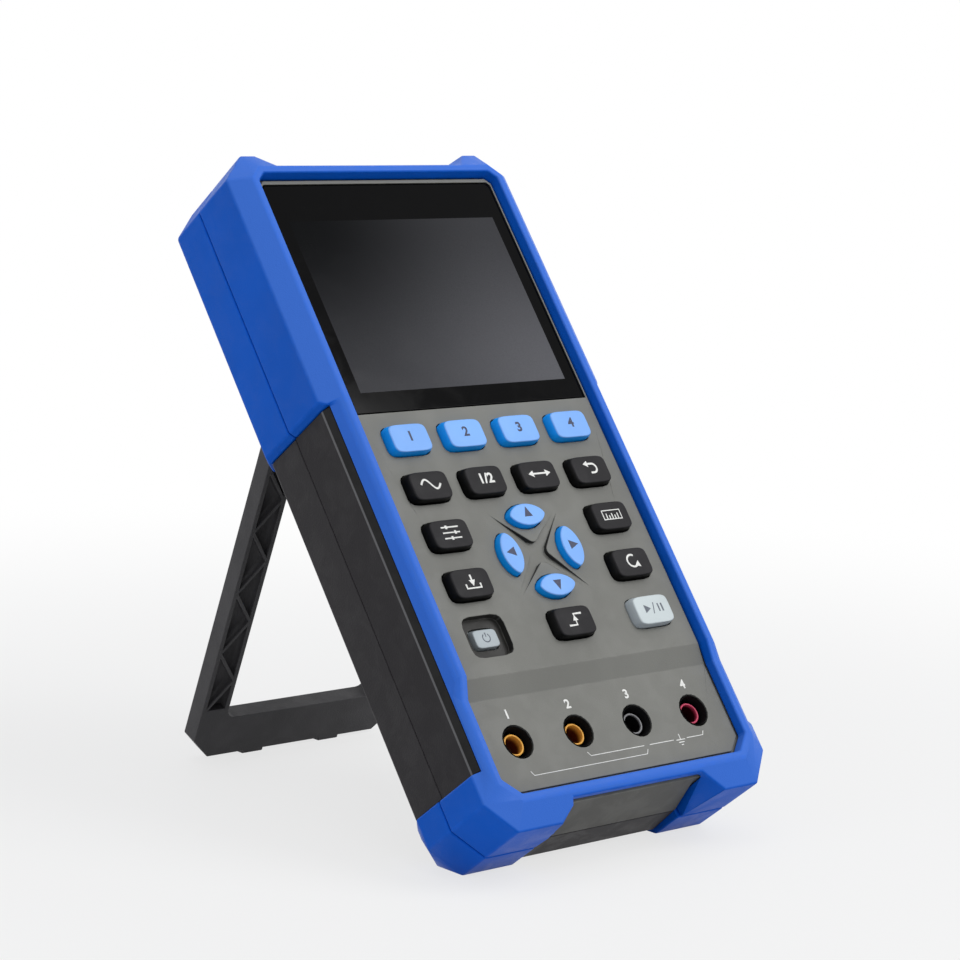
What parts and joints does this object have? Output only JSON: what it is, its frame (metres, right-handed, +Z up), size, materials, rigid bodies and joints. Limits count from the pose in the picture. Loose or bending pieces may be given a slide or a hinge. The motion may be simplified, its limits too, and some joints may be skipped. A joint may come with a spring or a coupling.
{
  "type": "handheld oscilloscope",
  "caption": "Handheld oscilloscope in a bumper case, with a display window, key panel, meter jacks, top sockets and a fold-out kickstand.",
  "frame": {"origin": "centre of the bounding box on the table plane, with the stand open", "axes": "+Z up, +X to the user's right, -Y towards the user; the case leans back by 38 degrees"},
  "size_m": [0.096, 0.1526, 0.1709],
  "materials": {
    "bumper_blue": "satin soft overmould",
    "panel_gray": "fine satin",
    "case_dark": "fine spark texture",
    "black_plastic": "matte",
    "window_black": "glossy black with a clear field",
    "key_light_blue": "satin",
    "key_black": "satin",
    "key_pale": "satin",
    "jack_amber": "satin",
    "jack_red": "satin",
    "steel": "zinc plated",
    "nickel": "nickel plated",
    "board_green": "solder mask",
    "silicone_gray": "matte",
    "lcd_glass": "dark, switched off",
    "cell_sleeve": "heat-shrink sleeve",
    "fuse_ceramic": "glazed"
  },
  "bodies": {
    "case": {"battery_cell_left": "cell_sleeve", "battery_cell_right": "cell_sleeve", "battery_contact_high": "nickel", "battery_contact_low": "nickel", "battery_door": "case_dark", "battery_screw": "nickel", "bnc_socket_left": "nickel", "bnc_socket_right": "nickel", "buzzer": "black_plastic", "case_screw_1": "steel", "case_screw_2": "steel", "case_screw_3": "steel", "case_screw_4": "steel", "display_window": "window_black", "front_bumper": "bumper_blue", "front_case": "panel_gray", "fuse_high": "fuse_ceramic", "fuse_low": "fuse_ceramic", "grip_left": "case_dark", "grip_right": "case_dark", "jack_block": "black_plastic", "jack_contact_amps": "nickel", "jack_contact_common": "nickel", "jack_contact_milliamps": "nickel", "jack_contact_volts": "nickel", "jack_tube_amps": "jack_amber", "jack_tube_common": "black_plastic", "jack_tube_milliamps": "jack_amber", "jack_tube_volts": "jack_red", "key_board": "board_green", "keypad_mat": "silicone_gray", "lcd_gasket": "silicone_gray", "lcd_panel": "lcd_glass", "lcd_tray": "steel", "main_board": "board_green", "rear_bumper_bottom": "bumper_blue", "rear_bumper_top": "bumper_blue", "rear_case": "case_dark", "shield_can": "steel", "usb_port": "nickel"},
    "stand": {"kickstand": "case_dark"},
    "press_auto": {"key_auto": "key_black"},
    "press_back": {"key_back": "key_black"},
    "press_channel": {"key_channel": "key_black"},
    "press_down": {"key_down": "key_light_blue"},
    "press_horizontal": {"key_horizontal": "key_black"},
    "press_left": {"key_left": "key_light_blue"},
    "press_measure": {"key_measure": "key_black"},
    "press_mode": {"key_mode": "key_black"},
    "press_power": {"key_power": "key_pale"},
    "press_right": {"key_right": "key_light_blue"},
    "press_run": {"key_run": "key_pale"},
    "press_save": {"key_save": "key_black"},
    "press_soft_1": {"key_soft_1": "key_light_blue"},
    "press_soft_2": {"key_soft_2": "key_light_blue"},
    "press_soft_3": {"key_soft_3": "key_light_blue"},
    "press_soft_4": {"key_soft_4": "key_light_blue"},
    "press_system": {"key_system": "key_black"},
    "press_trigger": {"key_trigger": "key_black"},
    "press_up": {"key_up": "key_light_blue"}
  },
  "joints": [
    {"name": "stand_hinge", "type": "hinge", "parent": "case", "child": "stand", "pos_m": [0, 0.03198, 0.10506], "axis": [-1, 0, 0], "range_deg": [0, 59.5]},
    {"name": "press_auto_slide", "type": "slide", "parent": "case", "child": "press_auto", "axis": [0, 0.788, -0.6157], "range_m": [0, 0.0012], "stiffness_N_per_m": 800, "springref_m": -0.0008},
    {"name": "press_back_slide", "type": "slide", "parent": "case", "child": "press_back", "axis": [0, 0.788, -0.6157], "range_m": [0, 0.0012], "stiffness_N_per_m": 800, "springref_m": -0.0008},
    {"name": "press_channel_slide", "type": "slide", "parent": "case", "child": "press_channel", "axis": [0, 0.788, -0.6157], "range_m": [0, 0.0012], "stiffness_N_per_m": 800, "springref_m": -0.0008},
    {"name": "press_down_slide", "type": "slide", "parent": "case", "child": "press_down", "axis": [0, 0.788, -0.6157], "range_m": [0, 0.0012], "stiffness_N_per_m": 800, "springref_m": -0.0008},
    {"name": "press_horizontal_slide", "type": "slide", "parent": "case", "child": "press_horizontal", "axis": [0, 0.788, -0.6157], "range_m": [0, 0.0012], "stiffness_N_per_m": 800, "springref_m": -0.0008},
    {"name": "press_left_slide", "type": "slide", "parent": "case", "child": "press_left", "axis": [0, 0.788, -0.6157], "range_m": [0, 0.0012], "stiffness_N_per_m": 800, "springref_m": -0.0008},
    {"name": "press_measure_slide", "type": "slide", "parent": "case", "child": "press_measure", "axis": [0, 0.788, -0.6157], "range_m": [0, 0.0012], "stiffness_N_per_m": 800, "springref_m": -0.0008},
    {"name": "press_mode_slide", "type": "slide", "parent": "case", "child": "press_mode", "axis": [0, 0.788, -0.6157], "range_m": [0, 0.0012], "stiffness_N_per_m": 800, "springref_m": -0.0008},
    {"name": "press_power_slide", "type": "slide", "parent": "case", "child": "press_power", "axis": [0, 0.788, -0.6157], "range_m": [0, 0.0012], "stiffness_N_per_m": 800, "springref_m": -0.0008},
    {"name": "press_right_slide", "type": "slide", "parent": "case", "child": "press_right", "axis": [0, 0.788, -0.6157], "range_m": [0, 0.0012], "stiffness_N_per_m": 800, "springref_m": -0.0008},
    {"name": "press_run_slide", "type": "slide", "parent": "case", "child": "press_run", "axis": [0, 0.788, -0.6157], "range_m": [0, 0.0012], "stiffness_N_per_m": 800, "springref_m": -0.0008},
    {"name": "press_save_slide", "type": "slide", "parent": "case", "child": "press_save", "axis": [0, 0.788, -0.6157], "range_m": [0, 0.0012], "stiffness_N_per_m": 800, "springref_m": -0.0008},
    {"name": "press_soft_1_slide", "type": "slide", "parent": "case", "child": "press_soft_1", "axis": [0, 0.788, -0.6157], "range_m": [0, 0.0012], "stiffness_N_per_m": 800, "springref_m": -0.0008},
    {"name": "press_soft_2_slide", "type": "slide", "parent": "case", "child": "press_soft_2", "axis": [0, 0.788, -0.6157], "range_m": [0, 0.0012], "stiffness_N_per_m": 800, "springref_m": -0.0008},
    {"name": "press_soft_3_slide", "type": "slide", "parent": "case", "child": "press_soft_3", "axis": [0, 0.788, -0.6157], "range_m": [0, 0.0012], "stiffness_N_per_m": 800, "springref_m": -0.0008},
    {"name": "press_soft_4_slide", "type": "slide", "parent": "case", "child": "press_soft_4", "axis": [0, 0.788, -0.6157], "range_m": [0, 0.0012], "stiffness_N_per_m": 800, "springref_m": -0.0008},
    {"name": "press_system_slide", "type": "slide", "parent": "case", "child": "press_system", "axis": [0, 0.788, -0.6157], "range_m": [0, 0.0012], "stiffness_N_per_m": 800, "springref_m": -0.0008},
    {"name": "press_trigger_slide", "type": "slide", "parent": "case", "child": "press_trigger", "axis": [0, 0.788, -0.6157], "range_m": [0, 0.0012], "stiffness_N_per_m": 800, "springref_m": -0.0008},
    {"name": "press_up_slide", "type": "slide", "parent": "case", "child": "press_up", "axis": [0, 0.788, -0.6157], "range_m": [0, 0.0012], "stiffness_N_per_m": 800, "springref_m": -0.0008}
  ]
}
